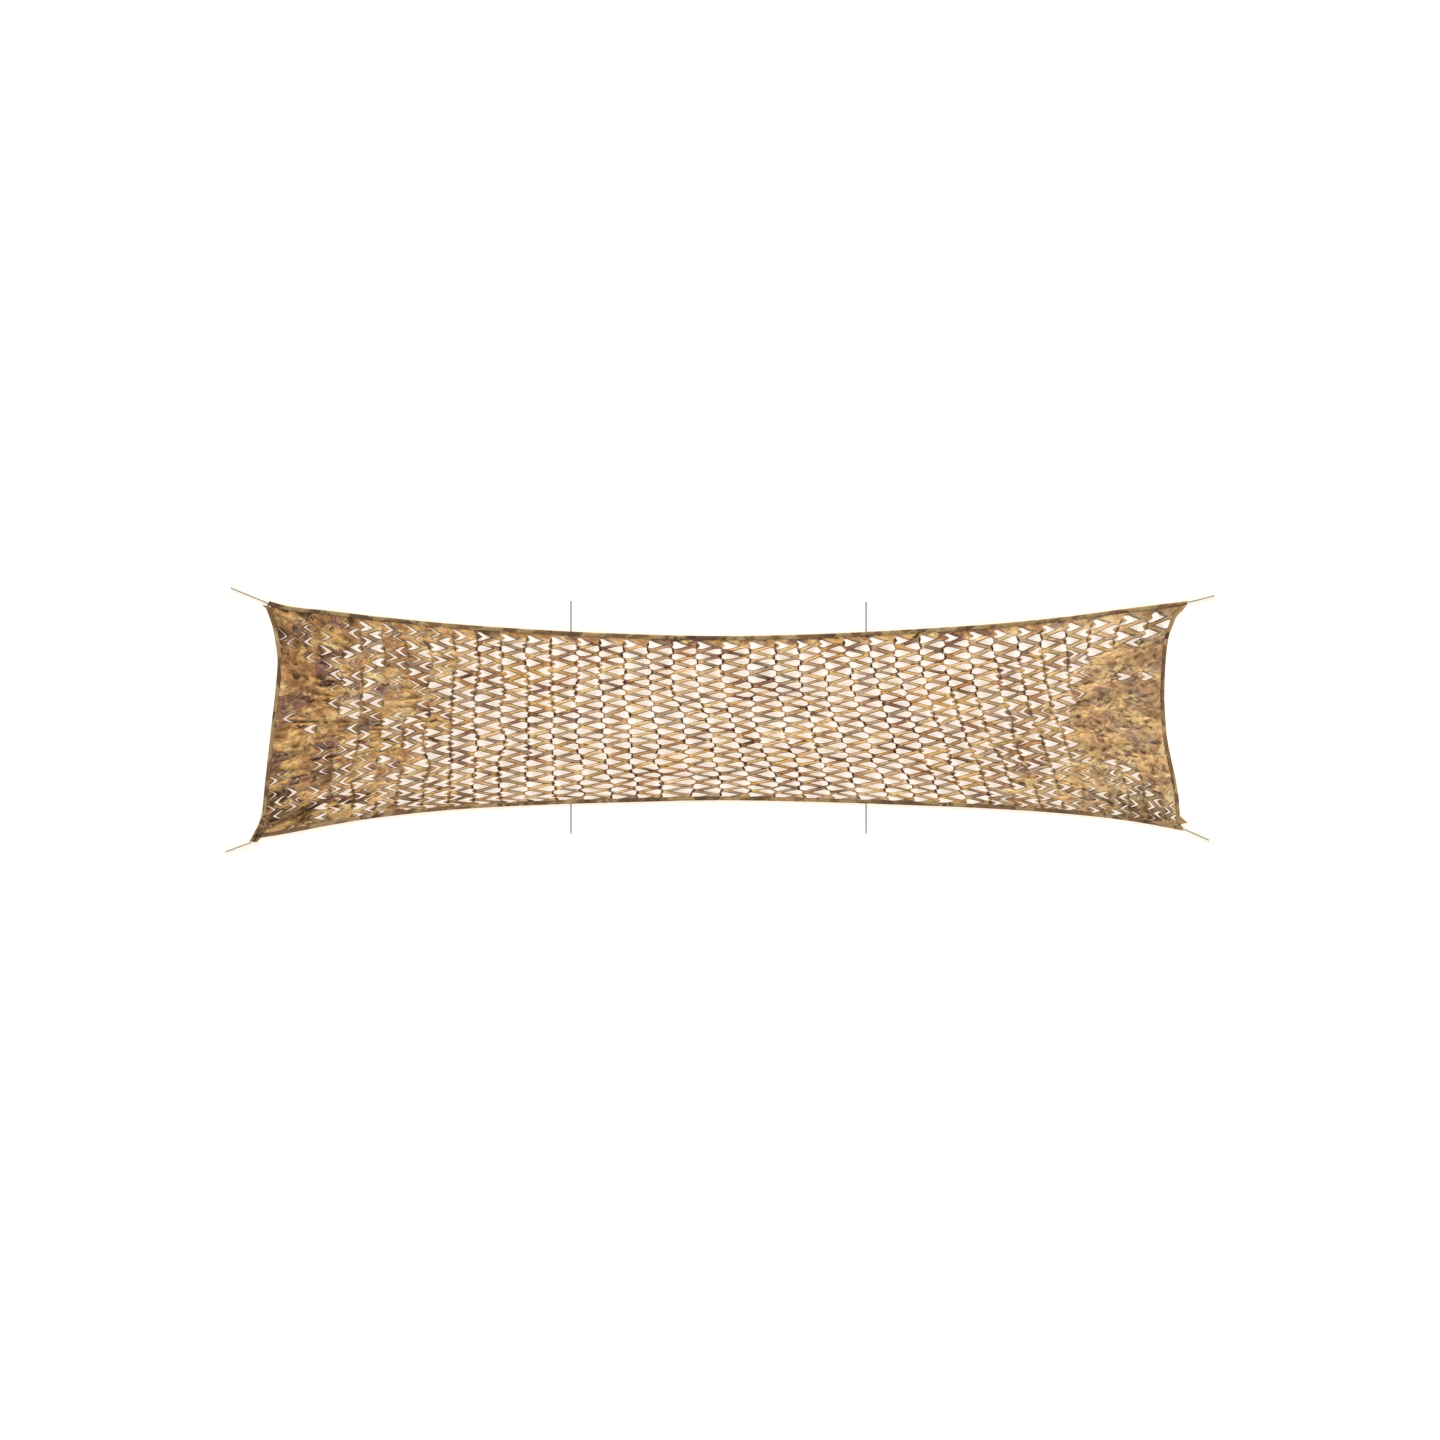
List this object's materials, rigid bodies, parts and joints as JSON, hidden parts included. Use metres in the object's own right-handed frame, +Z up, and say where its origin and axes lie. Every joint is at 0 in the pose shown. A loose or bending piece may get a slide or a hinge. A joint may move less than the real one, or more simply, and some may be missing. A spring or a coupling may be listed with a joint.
{
  "type": "camouflage net",
  "caption": "Long narrow leaf-cut camouflage net in desert colours, bound with folded tape and stretched flat by short tie cords.",
  "frame": {"origin": "middle of the net without its tie cords, on the surface that it lies on", "axes": "+X along the net to its right-hand end as pictured, +Y across it to its upper edge, +Z up out of the surface, towards the side that is seen"},
  "size_m": [3.236, 0.8675, 0.0092],
  "materials": {
    "camouflage_cloth": "light plain-woven cloth printed in golden tan, mid brown and dark brown, matt",
    "binding_tape": "the same printed cloth folded over the edge and sewn, matt",
    "tie_cord": "thin twisted cord, grey tan, matt"
  },
  "bodies": {
    "root": {"net_panel": "camouflage_cloth", "binding_top": "binding_tape", "binding_bottom": "binding_tape", "binding_left": "binding_tape", "binding_right": "binding_tape", "cord_top_left": "tie_cord", "cord_bottom_left": "tie_cord", "cord_top_right": "tie_cord", "cord_bottom_right": "tie_cord", "cord_top_mid_left": "tie_cord", "cord_top_mid_right": "tie_cord", "cord_bottom_mid_left": "tie_cord", "cord_bottom_mid_right": "tie_cord"}
  },
  "joints": []
}
